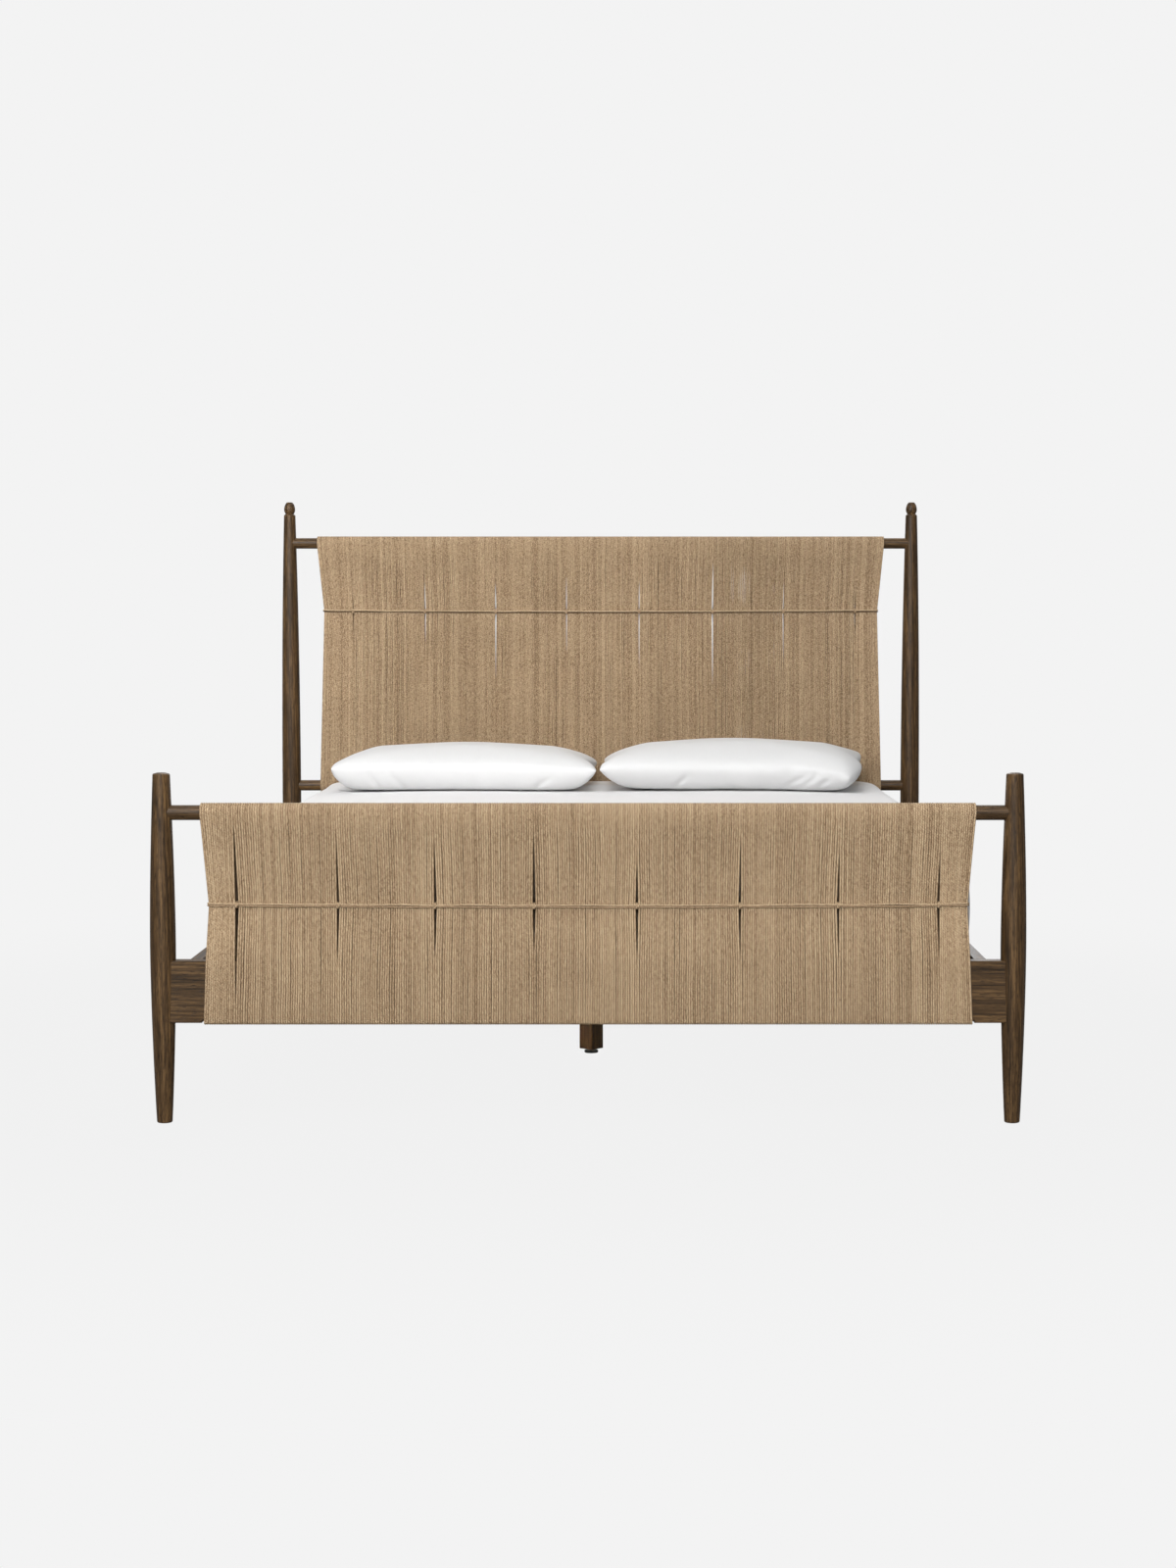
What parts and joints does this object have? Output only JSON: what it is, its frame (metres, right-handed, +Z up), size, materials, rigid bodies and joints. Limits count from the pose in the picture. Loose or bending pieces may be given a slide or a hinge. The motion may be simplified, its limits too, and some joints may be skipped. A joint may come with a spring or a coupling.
{
  "type": "rope bed",
  "caption": "Queen bed with turned tapered legs, cord wound from bar to bar at head and foot, flat rails, slat deck, centre leg, mattress and pillows.",
  "frame": {"origin": "on the floor under the middle of the bed", "axes": "+X to the right seen from the foot, +Y from the footboard to the headboard, +Z up"},
  "size_m": [1.743, 2.1359, 1.32],
  "materials": {
    "stained_wood": "satin",
    "plain_wood": "matte",
    "zinc_steel": "satin",
    "cord": "matte",
    "tie_cord": "matte",
    "linen": "matte",
    "black_plastic": "satin"
  },
  "bodies": {
    "bed_frame": {"foot_leg_left": "stained_wood", "foot_leg_right": "stained_wood", "head_post_left": "stained_wood", "head_post_right": "stained_wood", "foot_top_bar": "stained_wood", "foot_rail": "stained_wood", "head_top_bar": "stained_wood", "head_lower_bar": "stained_wood", "head_rail": "stained_wood", "side_rail_left": "stained_wood", "side_rail_right": "stained_wood", "centre_leg": "stained_wood", "slat_ledge_left": "plain_wood", "slat_ledge_right": "plain_wood", "centre_beam": "plain_wood", "slat_1": "plain_wood", "slat_2": "plain_wood", "slat_3": "plain_wood", "slat_4": "plain_wood", "slat_5": "plain_wood", "slat_6": "plain_wood", "slat_7": "plain_wood", "slat_8": "plain_wood", "slat_9": "plain_wood", "slat_10": "plain_wood", "slat_11": "plain_wood", "slat_12": "plain_wood", "slat_13": "plain_wood", "slat_14": "plain_wood", "centre_leg_bolt": "zinc_steel", "beam_insert": "zinc_steel", "leg_insert": "zinc_steel", "hanger_bolts": "zinc_steel", "half_moon_washers": "zinc_steel", "rail_nuts": "zinc_steel", "ledge_screws": "zinc_steel", "slat_screws": "zinc_steel", "foot_cord_panel": "cord", "head_cord_panel": "cord", "foot_tie_cord": "tie_cord", "foot_tie_lashings": "tie_cord", "head_tie_cord": "tie_cord", "head_tie_lashings": "tie_cord"},
    "levelling_glide": {"levelling_glide": "black_plastic"},
    "mattress": {"mattress": "linen"},
    "pillow_left": {"pillow_left": "linen"},
    "pillow_right": {"pillow_right": "linen"}
  },
  "joints": [
    {"name": "glide_thread", "type": "slide", "parent": "bed_frame", "child": "levelling_glide", "axis": [0, 0, 1], "range_m": [-0.012, 0.003]},
    {"name": "mattress_lift", "type": "slide", "parent": "bed_frame", "child": "mattress", "axis": [0, 0, 1], "range_m": [0, 0.45]},
    {"name": "pillow_left_lift", "type": "slide", "parent": "mattress", "child": "pillow_left", "axis": [0, 0, 1], "range_m": [0, 0.3]},
    {"name": "pillow_right_lift", "type": "slide", "parent": "mattress", "child": "pillow_right", "axis": [0, 0, 1], "range_m": [0, 0.3]}
  ]
}
